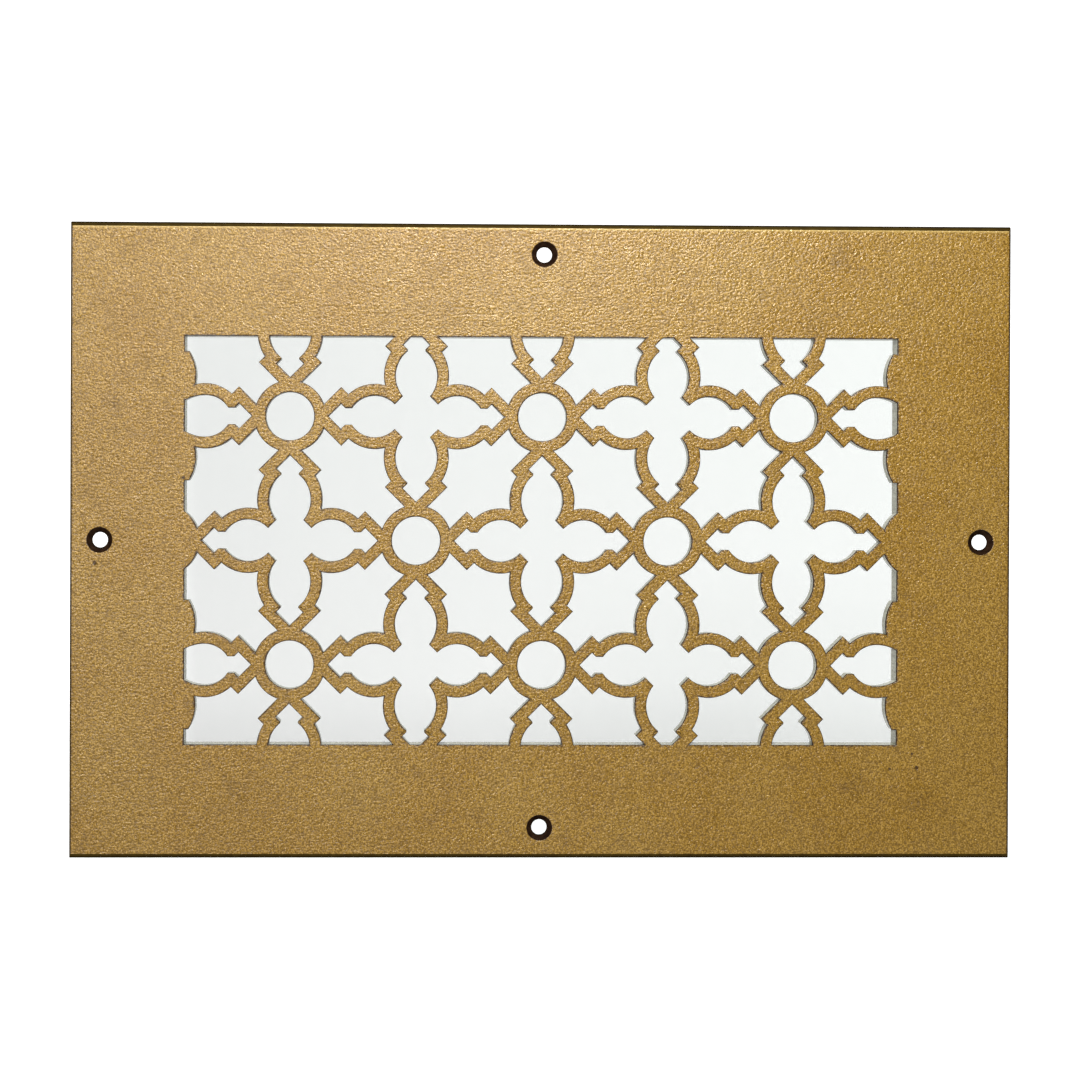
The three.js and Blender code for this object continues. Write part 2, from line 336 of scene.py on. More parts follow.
def piercedPlateTree():
    maker = TreeMaker("Pierced Plate")
    names = {}
    for name in ("Plate Size", "Field Size"):
        names[name] = maker.addInput(name, "Vector")
    for name in ("Pitch Across", "Pitch Up", "Ring Radius", "Ring Hole Radius", "Screw Hole Radius"):
        names[name] = maker.addInput(name, "Float")
    for name in ("Columns", "Rows", "Ring Sides", "Screw Sides"):
        names[name] = maker.addInput(name, "Int")
    for name in ("Whole Body", "Side Body", "Whole Opening", "Side Opening", "Screw Points"):
        names[name] = maker.addInput(name, "Object")
    names["Coat"] = maker.addInput("Coat", "Material")

    # the chequerboard of centres
    columns, rows = maker.given("Columns"), maker.given("Rows")
    width = maker.math("MULTIPLY", maker.given("Pitch Across"), maker.math("SUBTRACT", columns, 1))
    height = maker.math("MULTIPLY", maker.given("Pitch Up"), maker.math("SUBTRACT", rows, 1))
    grid = maker.node("GeometryNodeMeshGrid", {0: width, 1: height, 2: columns, 3: rows}).outputs[0]
    index = maker.node("GeometryNodeInputIndex").outputs[0]
    isCross = maker.math("MODULO", index, 2)
    isRing = maker.math("SUBTRACT", 1, isCross)
    place = maker.node("ShaderNodeSeparateXYZ", {0: maker.node("GeometryNodeInputPosition").outputs[0]})
    field = maker.node("ShaderNodeSeparateXYZ", {0: maker.given("Field Size")})
    farX = maker.node("ShaderNodeMath", {0: place.outputs[0]}, operation="ABSOLUTE").outputs[0]
    farY = maker.node("ShaderNodeMath", {0: place.outputs[1]}, operation="ABSOLUTE").outputs[0]
    halfX = maker.math("MULTIPLY", field.outputs[0], 0.5)
    halfY = maker.math("MULTIPLY", field.outputs[1], 0.5)
    atSide = maker.math("GREATER_THAN", farX, halfX)
    inside = maker.math("SUBTRACT", 1, atSide)
    atRight = maker.math("GREATER_THAN", place.outputs[0], 0)
    turned = maker.node("ShaderNodeCombineXYZ", {2: maker.math("MULTIPLY", atRight, math.pi)}).outputs[0]

    def objectMesh(name):
        return maker.node("GeometryNodeObjectInfo", {"Object": maker.given(name)}).outputs["Geometry"]

    def spread(shape, selection, rotation=None):
        links = {"Points": grid, "Selection": selection, "Instance": shape}
        if rotation is not None:
            links["Rotation"] = rotation
        return maker.node("GeometryNodeInstanceOnPoints", links).outputs[0]

    def disc(radius, sides, name):
        links = {"Vertices": sides, "Radius": radius, "Depth": cutterDepths[name] * mm}
        return maker.node("GeometryNodeMeshCylinder", links, fill_type="NGON").outputs[0]

    bodies = spread(objectMesh("Whole Body"), maker.both(isCross, inside))
    sideBodies = spread(objectMesh("Side Body"), maker.both(isCross, atSide))
    rings = spread(disc(maker.given("Ring Radius"), maker.given("Ring Sides"), "ring"), isRing)
    openings = spread(objectMesh("Whole Opening"), maker.both(isCross, inside))
    sideOpenings = spread(objectMesh("Side Opening"), maker.both(isCross, atSide), turned)
    holeRadius = maker.given("Ring Hole Radius")
    clearX = maker.math("LESS_THAN", farX, maker.math("SUBTRACT", halfX, holeRadius))
    clearY = maker.math("LESS_THAN", farY, maker.math("SUBTRACT", halfY, holeRadius))
    pierced = maker.both(isRing, maker.both(clearX, clearY))
    holes = spread(disc(holeRadius, maker.given("Ring Sides"), "ringHole"), pierced)

    # what falls out between the bodies, then what is pierced through them
    block = maker.node("GeometryNodeMeshCube", {"Size": maker.given("Field Size")}).outputs[0]
    webs = maker.boolean("DIFFERENCE", block, bodies, sideBodies)
    webs = maker.boolean("DIFFERENCE", webs, rings)
    joined = maker.node("GeometryNodeJoinGeometry")
    maker.tree.links.new(openings, joined.inputs[0])
    maker.tree.links.new(sideOpenings, joined.inputs[0])
    cuts = maker.node("GeometryNodeRealizeInstances", {0: joined.outputs[0]}).outputs[0]
    cuts = maker.boolean("INTERSECT", None, block, cuts)
    screwShaft = disc(maker.given("Screw Hole Radius"), maker.given("Screw Sides"), "screw")
    screwPoints = maker.node("GeometryNodeObjectInfo", {"Object": maker.given("Screw Points")})
    screwLinks = {"Points": screwPoints.outputs["Geometry"], "Instance": screwShaft}
    shafts = maker.node("GeometryNodeInstanceOnPoints", screwLinks).outputs[0]
    blank = maker.node("GeometryNodeMeshCube", {"Size": maker.given("Plate Size")}).outputs[0]
    cover = maker.boolean("DIFFERENCE", blank, webs, cuts)
    cover = maker.boolean("DIFFERENCE", cover, holes, shafts)

    whole = maker.node("GeometryNodeRealizeInstances", {0: cover}).outputs[0]
    coated = maker.node("GeometryNodeSetMaterial", {"Geometry": whole, "Material": maker.given("Coat")})
    output = maker.node("NodeGroupOutput")
    maker.tree.links.new(coated.outputs[0], output.inputs[0])
    return maker.tree, names


def piercedPlate(coat):
    tree, names = piercedPlateTree()
    mesh = bpy.data.meshes.new("ventPlan")
    holder = bpy.data.objects.new("ventPlan", mesh)
    bpy.context.scene.collection.objects.link(holder)
    points = bpy.data.meshes.new("screwPoints")
    points.from_pydata([(x * mm, y * mm, 0) for x, y in screwPlaces()], [], [])
    helpers = {
        "Whole Body": cutterObject("wholeBody", cutterDepths["body"]),
        "Side Body": cutterObject("sideBody", cutterDepths["body"]),
        "Whole Opening": cutterObject("wholeOpening", cutterDepths["opening"]),
        "Side Opening": cutterObject("sideOpening", cutterDepths["opening"]),
        "Screw Points": bpy.data.objects.new("screwPoints", points),
    }
    values = {
        "Plate Size": (plateWidth * mm, plateHeight * mm, plateThickness * mm),
        "Field Size": (openingWidth * mm, openingHeight * mm, cutterDepths["field"] * mm),
        "Pitch Across": pattern["pitchAcross"] * mm,
        "Pitch Up": pattern["pitchUp"] * mm,
        "Ring Radius": (pattern["ringHole"] + pattern["strip"]) * mm,
        "Ring Hole Radius": pattern["ringHole"] * mm,
        "Screw Hole Radius": screwHoles["holeRadius"] * mm,
        "Columns": pattern["columns"],
        "Rows": pattern["rows"],
        "Ring Sides": pattern["ringSides"],
        "Screw Sides": screwHoles["sides"],
        "Coat": coat,
        **helpers,
    }
    modifier = holder.modifiers.new("Pierced Plate", "NODES")
    modifier.node_group = tree
    for name, value in values.items():
        modifier[names[name]] = value
    depsgraph = bpy.context.evaluated_depsgraph_get()
    plain = bpy.data.meshes.new_from_object(holder.evaluated_get(depsgraph))
    holder.modifiers.remove(modifier)
    for thing in [holder, *helpers.values()]:
        bpy.data.objects.remove(thing)
    return plain


# edges: the plan's outlines are taken from the plate and rounded over

coatSlot, wallSlot, outerSlot, seatSlot = range(4)


def planLoops(mesh):
    # closed outlines of the front in drawing space, metal always on the left, in a fixed order
    bm = bmesh.new()
    bm.from_mesh(mesh)
    bmesh.ops.remove_doubles(bm, verts=bm.verts, dist=reading["weldDistance"] * mm)
    bm.normal_update()
    front = [f for f in bm.faces if f.normal.z > reading["facingFront"]]
    inFront = set(front)
    following = {}
    for face in front:
        for corner in face.loops:
            if not any(f in inFront for f in corner.edge.link_faces if f is not face):
                following[corner.vert.index] = corner.link_loop_next.vert.index
    bm.verts.ensure_lookup_table()
    places = [v.co.xy / mm for v in bm.verts]
    bm.free()
    loops = []
    while following:
        first = next(iter(following))
        loop, current = [], first
        while current in following:
            loop.append(places[current])
            current = following.pop(current)
        start = min(range(len(loop)), key=lambda i: tuple(loop[i]))
        loops.append(cleanLoop(np.array(loop[start:] + loop[:start])))
    return sorted(loops, key=lambda loop: tuple(loop[0]))


def cleanLoop(points):
    # drops points that lie on a straight run or almost on their neighbour
    keep = list(range(len(points)))
    changed = True
    while changed:
        changed = False
        for i in range(len(keep)):
            before, here, after = (points[keep[(i + k) % len(keep)]] for k in (-1, 0, 1))
            a, b = here - before, after - here
            turn = abs(a[0] * b[1] - a[1] * b[0]) / max(1e-9, np.linalg.norm(a) * np.linalg.norm(b))
            if turn < reading["leastTurn"] or np.linalg.norm(a) < reading["shortestSide"]:
                keep.pop(i)
                changed = True
                break
    return points[keep]


def leftwards(loop):
    # for each corner, the way to move it so that both its sides move 1 to the left
    ahead = np.roll(loop, -1, axis=0) - loop
    ahead /= np.linalg.norm(ahead, axis=1, keepdims=True)
    normalAfter = np.stack([-ahead[:, 1], ahead[:, 0]], axis=1)
    normalBefore = np.roll(normalAfter, 1, axis=0)
    total = normalBefore + normalAfter
    dot = (normalBefore * normalAfter).sum(axis=1, keepdims=True)
    mitre = total / (1 + dot)
    length = np.linalg.norm(mitre, axis=1, keepdims=True)
    return mitre * np.minimum(1, reading["longestMitre"] / length)


def roundOver(radius, steps):
    # (inset, depth) from the flat front over a quarter round
    quarter = [math.pi / 2 * i / steps for i in range(steps + 1)]
    return [(radius * (1 - math.sin(a)), radius * (1 - math.cos(a))) for a in quarter]


def insetAt(depth, radius):
    return radius - math.sqrt(radius ** 2 - (radius - depth) ** 2) if depth < radius else 0.0


def screwProfile():
    # inset, depth and wear from the flat front down the cone, seat and bore, with the bands' slots
    wide = screwHoles["headRadius"] - screwHoles["holeRadius"]
    lip = screwHoles["lipRadius"]
    seat = screwHoles["seatThickness"]
    bored = screwHoles["boreRadius"] - screwHoles["holeRadius"]
    profile = [(wide + lip + screwHoles["wornRing"], 0, 0)]
    profile += [(wide + a * lip, b * lip, worn) for a, b, worn in screwHoles["lipCurve"]]
    profile += [(0, screwHoles["coneDepth"], 1), (0, seat, 1)]
    profile += [(bored, seat, 1), (bored, plateThickness, 1)]
    return profile, [coatSlot] * 2 + [seatSlot] * (len(profile) - 3)


def openingProfile():
    # the same down a cut wall of the field
    steps, least = plate["cutEdgeSteps"], plate["cutEdgeWear"]
    profile = [(plate["wearWidth"], 0, 0)]
    for i, (inset, depth) in enumerate(roundOver(plate["cutEdgeRadius"], steps)):
        profile.append((inset, depth, least + (1 - least) * i / steps))
    profile += [(0, plate["lineDepth"], 1), (0, plate["latticeThickness"], 1)]
    return profile, [coatSlot] * (steps - 1) + [seatSlot] * 3 + [wallSlot]


def borderRun(loop, verts, atBorder):
    # splits an opening's outline into its run along the border and the rest, across the lattice
    count = len(loop)
    first = next(i for i in range(count) if atBorder[i] and not atBorder[i - 1])
    last = first
    while atBorder[(last + 1) % count]:
        last += 1
    along = [verts[i % count] for i in range(first, last + 1)]
    across = [verts[i % count] for i in range(last, first + count + 1)]
    middle = loop[first] + loop[last % count]
    return {"along": along, "across": across, "angle": math.atan2(middle[1], middle[0])}


def coverMesh(loops):
    bm = bmesh.new()
    wear = bm.verts.layers.float.new("rimWear")

    def row(points, depth, worn):
        made = []
        for x, y in points:
            vert = bm.verts.new((x * mm, (depth - plateThickness) * mm, y * mm + middleUp))
            vert[wear] = worn
            made.append(vert)
        return made

    def skin(upper, lower, slot):
        count = len(upper)
        for i in range(count):
            j = (i + 1) % count
            face = bm.faces.new((upper[j], upper[i], lower[i], lower[j]))
            face.material_index = slot
            face.smooth = True

    def cap(rings, slot, faceBack):
        flat = [v for ring in rings for v in ring]
        polylines = [[Vector((v.co.x, v.co.z, 0)) / mm for v in ring] for ring in rings]
        triangles = tessellate_polygon(polylines)
        turns = 0
        for a, b, c in triangles:
            p, q, r = flat[a].co, flat[b].co, flat[c].co
            turns += (q - p).cross(r - p).y
        for corners in triangles:
            ordered = corners if (turns > 0) == faceBack else reversed(corners)
            face = bm.faces.new([flat[i] for i in ordered])
            face.material_index = slot
            face.smooth = True

    fronts, backs, latticeBacks, sideRuns = [], [], [], []
    fieldHalf = np.array([openingWidth / 2, openingHeight / 2])
    screws = [np.array(p) for p in screwPlaces()]
    for loop in loops:
        middle = (loop.min(axis=0) + loop.max(axis=0)) / 2
        span = np.ptp(loop, axis=0)
        if span[0] > plateWidth - reading["samePlace"]:
            inField = False
            toMiddle = -np.sign(loop)
            flatInset = plate["longEdgeRadius"] + plate["wearWidth"]
            rows = [row(loop + toMiddle * flatInset, 0, 0)]
            for depth in plate["edgeDepths"]:
                insets = [insetAt(depth, plate["shortEdgeRadius"]), insetAt(depth, plate["longEdgeRadius"])]
                worn = min(1, depth / plate["edgeWearDepth"])
                rows.append(row(loop + toMiddle * np.array(insets), depth, worn))
            rows.append(row(loop, plateThickness, 1))
            slots = [coatSlot] + [outerSlot] * (len(rows) - 2)
        else:
            inField = min(np.linalg.norm(middle - s) for s in screws) > reading["samePlace"]
            way = leftwards(loop)
            profile, slots = openingProfile() if inField else screwProfile()
            rows = [row(loop + way * inset, depth, worn) for inset, depth, worn in profile]
        for upper, lower, slot in zip(rows, rows[1:], slots):
            skin(upper, lower, slot)
        fronts.append(rows[0])
        atBorder = (np.abs(np.abs(loop) - fieldHalf) < reading["borderNear"]).any(axis=1)
        if not inField:
            backs.append(rows[-1])
        elif atBorder.any():
            sideRuns.append(borderRun(loop, rows[-1], atBorder))
        else:
            latticeBacks.append(rows[-1])
    cap(fronts, coatSlot, False)

    # the border's inner wall goes on behind the lattice; the field's corners lie in openings
    sideRuns.sort(key=lambda run: run["angle"], reverse=True)
    stepTop, latticeEdge = [], []
    for run in sideRuns:
        stepTop += run["along"]
        latticeEdge = run["across"] + latticeEdge
    stepBack = row([(v.co.x / mm, (v.co.z - middleUp) / mm) for v in stepTop], plateThickness, 1)
    skin(stepTop, stepBack, wallSlot)
    cap([latticeEdge] + latticeBacks, wallSlot, True)
    cap([stepBack] + backs, wallSlot, True)
    mesh = bpy.data.meshes.new("ventPlate")
    bmesh.ops.recalc_face_normals(bm, faces=bm.faces)
    bm.normal_update()
    openEdges = sum(1 for e in bm.edges if not e.is_manifold)
    turnedEdges = sum(1 for e in bm.edges if not e.is_contiguous)
    volume = bm.calc_volume(signed=True) * 1e6
    bm.to_mesh(mesh)
    bm.free()
    mesh.set_sharp_from_angle(angle=math.radians(plate["sharpAngle"]))
    print("plate:", len(mesh.polygons), "faces,", round(volume, 2), "cm3")
    print("plate:", openEdges, "open edges,", turnedEdges, "turned edges")
    return mesh


# materials

class MaterialMaker:
    def __init__(self, name):
        self.material = bpy.data.materials.new(name)
        self.material.use_nodes = True
        self.tree = self.material.node_tree
        self.tree.nodes.clear()
        self.output = self.tree.nodes.new("ShaderNodeOutputMaterial")
        self.shader = self.tree.nodes.new("ShaderNodeBsdfPrincipled")
        self.tree.links.new(self.shader.outputs[0], self.output.inputs["Surface"])
        self.coordinates = self.tree.nodes.new("ShaderNodeTexCoord").outputs["Object"]

    def node(self, kind, links=(), **settings):
        made = self.tree.nodes.new(kind)
        for key, value in settings.items():
            setattr(made, key, value)
        for socket, source in dict(links).items():
            if isinstance(source, bpy.types.NodeSocket):
                self.tree.links.new(source, made.inputs[socket])
            else:
                made.inputs[socket].default_value = source
        return made

    def math(self, operation, a, b):
        return self.node("ShaderNodeMath", {0: a, 1: b}, operation=operation).outputs[0]

    def stretched(self, scale):
        made = self.node("ShaderNodeMapping", {0: self.coordinates, "Scale": scale}, vector_type="TEXTURE")
        return made.outputs[0]

    def noise(self, size, detail=2.0, rough=0.5, coordinates=None):
        # size is the width of a patch in metres
        links = {"Vector": coordinates or self.coordinates, "Scale": 1 / size, "Detail": detail}
        links["Roughness"] = rough
        return self.node("ShaderNodeTexNoise", links).outputs[0]

    def bump(self, height, distance, strength):
        links = {"Height": height, "Distance": distance, "Strength": strength}
        return self.node("ShaderNodeBump", links).outputs[0]

    def split(self, vector):
        return self.node("ShaderNodeSeparateXYZ", {0: vector}).outputs

    def span(self, value, low, high, toLow=0.0, toHigh=1.0):
        links = {"Value": value, "From Min": low, "From Max": high, "To Min": toLow, "To Max": toHigh}
        return self.node("ShaderNodeMapRange", links).outputs[0]

    def mix(self, factor, a, b):
        made = self.node("ShaderNodeMix", data_type="RGBA")
        for socket, source in ((0, factor), (6, a), (7, b)):
            if isinstance(source, bpy.types.NodeSocket):
                self.tree.links.new(source, made.inputs[socket])
            else:
                made.inputs[socket].default_value = source
        return made.outputs[2]

    def spots(self, places, edge):
        # 1 inside the listed round places, fading out over the last share of each radius
        total = 0.0
        for across, up, size in places:
            centre = (across * mm, -plateThickness * mm, up * mm + middleUp)
            links = {0: self.coordinates, 1: centre}
            away = self.node("ShaderNodeVectorMath", links, operation="DISTANCE").outputs["Value"]
            spot = self.span(away, size * mm, size * (1 - edge) * mm)
            total = self.math("MAXIMUM", spot, total)
        return total

    def depthSpan(self, low, high):
        # 0 to 1 between two depths behind the front
        depth = self.split(self.coordinates)[1]
        return self.span(depth, (low - plateThickness) * mm, (high - plateThickness) * mm)

    def surface(self, **links):
        for name, source in links.items():
            socket = self.shader.inputs[name.replace("_", " ")]
            if isinstance(source, bpy.types.NodeSocket):
                self.tree.links.new(source, socket)
            else:
                socket.default_value = source


coat = {
    "gold": (0.222, 0.121, 0.011, 1),
    "paleGold": (0.246, 0.143, 0.020, 1),
    "shade": (0.070, 0.034, 0.003, 1),
    "speck": (0.42, 0.265, 0.07, 1),
    "topHighlight": (0.50, 0.36, 0.13, 1),          # painted highlight just below the upper edge, where its rounding catches the light from above
    "base": (0.030, 0.013, 0.005, 1),
    "metal": 0.08,
    "roughness": 0.31,
    "rimRoughness": 0.36,
    "roughnessSwing": 0.06,
    "gloss": 0.42,
    "sand": 0.5 * mm,               # widths of the patches, finest first
    "grain": 0.8 * mm,
    "chips": 1.1 * mm,
    "ragged": 1.2 * mm,
    "swell": 3.2 * mm,
    "mottle": 4 * mm,
    "clouds": 42 * mm,
    "grainStretch": (1.35, 1, 1),
    "bump": 0.42 * mm,
    "swellShare": 0.3,
    "pitDepth": 0.5,
    "pitFade": 0.35,
    # share of painted shade in the grain's hollows
    "hollowShadeShare": 0.6,
    "stainShare": 0.55,
    "pitShare": 0.85,
    "topHighlightShare": 0.6,
    "sideShare": 0.85,
    "topHighlightSpan": (2.4 * mm, 1.7 * mm),       # below the upper edge
    "sideSpan": (0.85 * mm, 0.6 * mm),      # in from the side edges, where the coat is thin
    "pits": [                       # across, up and size in millimetres from the middle
        (-150.7, -7.8, 0.8), (-120.9, 21.0, 0.7), (-118.2, -68.8, 0.7), (127.5, -76.6, 0.8),
        (126.0, -71.8, 0.5), (118.4, -76.9, 0.5), (7.6, -4.4, 0.6), (-10.4, 15.3, 0.5),
    ],
    "stains": [
        (100.1, 97.0, 6.0), (92.0, 73.5, 6.0), (-143.9, 45.8, 5.0), (105.9, -82.4, 7.0),
        (129.2, -87.4, 6.0), (-101.9, -85.0, 6.0),
    ],
}

# Noise values over which an effect fades in, then its least and greatest share
coatFades = {
    "clouds": (0.38, 0.62),
    "hollowShade": (0.56, 0.3),
    "sandShade": (0.55, 0.34, 0, 0.68),
    "sandSpeck": (0.52, 0.68, 0, 0.46),
    "mottle": (0.55, 0.8, 0, 0.3),
    "roughness": (0.3, 0.7),
    "stains": (0.62, 0.38),
    "ragged": (0.3, 0.7, -0.22, 0.22),
    "worn": (0.45, 0.75, 0, 0.92),
    # edges facing up keep their gold: a painted highlight
    "litFacingUp": (0.12, 0.4),
    "chips": (0.60, 0.54),
}


def goldCoat():
    maker = MaterialMaker("goldCoat")
    peel = maker.noise(coat["grain"], 3, 0.5, maker.stretched(coat["grainStretch"]))
    swell = maker.noise(coat["swell"])
    sand = maker.noise(coat["sand"], 1)
    mottle = maker.noise(coat["mottle"])
    clouds = maker.noise(coat["clouds"], 3, 0.55)
    pitted = maker.spots(coat["pits"], coat["pitFade"])
    relief = maker.math("ADD", peel, maker.math("MULTIPLY", swell, coat["swellShare"]))
    relief = maker.math("SUBTRACT", relief, maker.math("MULTIPLY", pitted, coat["pitDepth"]))

    # the base shows along the edges; those that face up keep their gold, broken only by chips, as a painted
    # highlight of the light from above
    rim = maker.node("ShaderNodeAttribute", attribute_name="rimWear").outputs["Fac"]
    ragged = maker.span(maker.noise(coat["ragged"]), *coatFades["ragged"])
    worn = maker.span(maker.math("ADD", rim, ragged), *coatFades["worn"])
    normal = maker.node("ShaderNodeNewGeometry").outputs["Normal"]
    # painted highlight: the more an edge faces up, the more gold it keeps
    litFacingUp = maker.span(maker.split(normal)[2], *coatFades["litFacingUp"])
    whole = maker.span(maker.noise(coat["chips"]), *coatFades["chips"])
    kept = maker.math("MULTIPLY", litFacingUp, whole)
    worn = maker.math("MULTIPLY", worn, maker.math("SUBTRACT", 1, kept))

    # the gold, darker in the hollows of the grain as painted shade, and sanded with pale specks
    colour = maker.mix(maker.span(clouds, *coatFades["clouds"]), coat["gold"], coat["paleGold"])
    # painted shade: the low places of the relief are darkened
    hollowShade = maker.span(peel, *coatFades["hollowShade"])
    colour = maker.mix(maker.math("MULTIPLY", hollowShade, coat["hollowShadeShare"]), colour, coat["shade"])
    colour = maker.mix(maker.span(sand, *coatFades["sandShade"]), colour, coat["shade"])
    colour = maker.mix(maker.span(sand, *coatFades["sandSpeck"]), colour, coat["speck"])
    colour = maker.mix(maker.span(mottle, *coatFades["mottle"]), colour, coat["shade"])

    # single stains and pits
    stains = maker.spots(coat["stains"], 1.0)
    stains = maker.math("MULTIPLY", stains, maker.span(peel, *coatFades["stains"]))
    colour = maker.mix(maker.math("MULTIPLY", stains, coat["stainShare"]), colour, coat["shade"])
    colour = maker.mix(maker.math("MULTIPLY", pitted, coat["pitShare"]), colour, coat["base"])

    # a painted highlight below the upper edge and a dark line down the two sides
    place = maker.split(maker.coordinates)
    # the painted highlight: a pale band of colour just below the upper edge
    highlightLow, highlightHigh = (plateHigh.z - below for below in coat["topHighlightSpan"])
    topHighlight = maker.span(place[2], highlightLow, highlightHigh, 0, coat["topHighlightShare"])
    colour = maker.mix(topHighlight, colour, coat["topHighlight"])
    sideLow, sideHigh = (plateHigh.x - inwards for inwards in coat["sideSpan"])
    aside = maker.math("ABSOLUTE", place[0], 0)
    sideRim = maker.span(aside, sideLow, sideHigh, 0, coat["sideShare"])
    colour = maker.mix(maker.math("MAXIMUM", worn, sideRim), colour, coat["base"])

    swing = coat["roughnessSwing"]
    smoother, rougher = coat["roughness"] - swing, coat["roughness"] + swing
    roughness = maker.span(mottle, *coatFades["roughness"], smoother, rougher)
    rimChange = maker.math("MULTIPLY", worn, coat["rimRoughness"] - coat["roughness"])
    roughness = maker.math("ADD", roughness, rimChange)
    metal = maker.math("MULTIPLY", maker.math("SUBTRACT", 1, worn), coat["metal"])
    bump = maker.bump(relief, coat["bump"], 1.0)
    maker.surface(Base_Color=colour, Roughness=roughness, Normal=bump, Metallic=metal)
    maker.surface(Specular_IOR_Level=coat["gloss"])
    return maker.material


edgePaint = {
    "line": (0.020, 0.011, 0.005, 1),
    "wall": (0.15, 0.145, 0.09, 1),
    "paleWall": (0.26, 0.26, 0.185, 1),
    "wallRoughness": 0.27,
    "wallStreak": 0.8 * mm,
    "wallFade": (0.35, 0.7),
    "wallBump": (0.05 * mm, 0.6),
    "streakStretch": (1, 6, 1),
    "lineSpan": (0.6, 1.0),         # depths over which the dark line gives way to the wall
    "outer": (0.040, 0.026, 0.005, 1),
    "outerPatch": (0.026, 0.016, 0.004, 1),
    "outerBlack": (0.012, 0.008, 0.004, 1),
    "outerGrain": 2.5 * mm,
    "outerFade": (0.35, 0.65),
    "outerBump": (0.1 * mm, 0.5),
    "blackSpan": (0.12, 0.55),
    "cone": (0.010, 0.005, 0.003, 1),
    "coneBrown": (0.024, 0.012, 0.006, 1),
    "coneGrain": 1.5 * mm,
    "coneFade": (0.4, 0.7),
    "coneBump": (0.1 * mm, 0.4),
    "roughness": 0.5,
}


def darkEdge():
    # cut walls: a dark line under the coat's edge, then streaked olive grey
    maker = MaterialMaker("darkEdge")
    drawn = maker.noise(edgePaint["wallStreak"], 2, 0.5, maker.stretched(edgePaint["streakStretch"]))
    drawnOut = maker.span(drawn, *edgePaint["wallFade"])
    colour = maker.mix(drawnOut, edgePaint["wall"], edgePaint["paleWall"])
    colour = maker.mix(maker.depthSpan(*edgePaint["lineSpan"]), edgePaint["line"], colour)
    bump = maker.bump(drawn, *edgePaint["wallBump"])
    maker.surface(Base_Color=colour, Normal=bump, Roughness=edgePaint["wallRoughness"])
    return maker.material


def outerEdge():
    # brown next to the coat and black behind
    maker = MaterialMaker("outerEdge")
    patches = maker.noise(edgePaint["outerGrain"], 3, 0.6)
    patchy = maker.span(patches, *edgePaint["outerFade"])
    colour = maker.mix(patchy, edgePaint["outerPatch"], edgePaint["outer"])
    colour = maker.mix(maker.depthSpan(*edgePaint["blackSpan"]), colour, edgePaint["outerBlack"])
    bump = maker.bump(patches, *edgePaint["outerBump"])
    maker.surface(Base_Color=colour, Normal=bump, Roughness=edgePaint["roughness"])
    maker.surface(Specular_IOR_Level=0.0)
    return maker.material


def screwSeat():
    maker = MaterialMaker("screwSeat")
    patches = maker.noise(edgePaint["coneGrain"], 3, 0.6)
    patchy = maker.span(patches, *edgePaint["coneFade"])
    colour = maker.mix(patchy, edgePaint["cone"], edgePaint["coneBrown"])
    bump = maker.bump(patches, *edgePaint["coneBump"])
    maker.surface(Base_Color=colour, Normal=bump, Roughness=edgePaint["roughness"])
    maker.surface(Specular_IOR_Level=0.0)
    return maker.material


paints = [goldCoat(), darkEdge(), outerEdge(), screwSeat()]     # in the order of the slots
print("materials made")
planMesh = piercedPlate(paints[0])
loops = planLoops(planMesh)
print("pierced plan:", len(loops), "outlines,", sum(len(loop) for loop in loops), "points")
plateMesh = coverMesh(loops)
for paint in paints:
    plateMesh.materials.append(paint)
ventPlate = bpy.data.objects.new("ventPlate", plateMesh)
bpy.context.scene.collection.objects.link(ventPlate)
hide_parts("vent_cover")
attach(ventPlate, "root")
print("cover made")

# the stage, light and camera

studio = {
    "wallGap": 1.4,
    "wallHeight": 3.5,
    "floorDrop": 0.52,
    "floorFront": -3.0,
    "halfWidth": 3.0,
    "bend": 0.3,
    "bendSteps": 16,
    "paper": (0.88, 0.88, 0.875, 1),
    "fibre": (0.86, 0.865, 0.86, 1),
    "fibreSize": 4 * mm,
    "roughness": 0.9,
    "glow": 1.0,
    "shadowGlow": 0.44,
    "shadowLowerLeftGlow": 0.08,
    "shadowTint": (0.925, 1.0, 0.955, 1),
    "shadowMiddle": (0.12, -0.06),     # painted shadow of the cover on the paper, seen through the openings
    "shadowAcross": (0.42, 0.56),
    "shadowUp": (0.26, 0.38),
    "shadowSlope": 0.6,
    "shadowSlant": (-0.6, 0.45),
    "glowFrom": (0.4, 0.8),         # the wall glows and the floor doesn't
    "ambient": 0.06,
    "room": 0.8,
}


def palePaper():
    # glowing paper standing in for lit paper, with a painted shadow of the cover: a little dimmer in the
    # middle and most towards its lower left
    paper = MaterialMaker("palePaper")
    tint = paper.mix(paper.noise(studio["fibreSize"], 3), studio["paper"], studio["fibre"])
    across, away, up = paper.split(paper.coordinates)
    # the painted shadow's glow, lowest towards the lower left
    slant = paper.math("ADD", paper.math("MULTIPLY", across, studio["shadowSlope"]), up)
    inner = paper.span(slant, *studio["shadowSlant"], studio["shadowLowerLeftGlow"], studio["shadowGlow"])
    middleX, aboveMiddle = studio["shadowMiddle"]
    farX = paper.math("ABSOLUTE", paper.math("SUBTRACT", across, middleX), 0)
    farUp = paper.math("ABSOLUTE", paper.math("SUBTRACT", up, middleUp + aboveMiddle), 0)
    # outside the painted shadow the paper glows fully
    reach = paper.span(farX, *studio["shadowAcross"])
    reach = paper.math("MAXIMUM", reach, paper.span(farUp, *studio["shadowUp"]))
    more = paper.math("SUBTRACT", studio["glow"], inner)
    glow = paper.math("ADD", inner, paper.math("MULTIPLY", reach, more))
    glow = paper.math("MULTIPLY", glow, paper.span(away, *studio["glowFrom"]))
    glowTint = paper.mix(reach, studio["shadowTint"], studio["paper"])
    paper.surface(Base_Color=tint, Roughness=studio["roughness"])
    paper.surface(Emission_Color=glowTint, Emission_Strength=glow)
    return paper.material


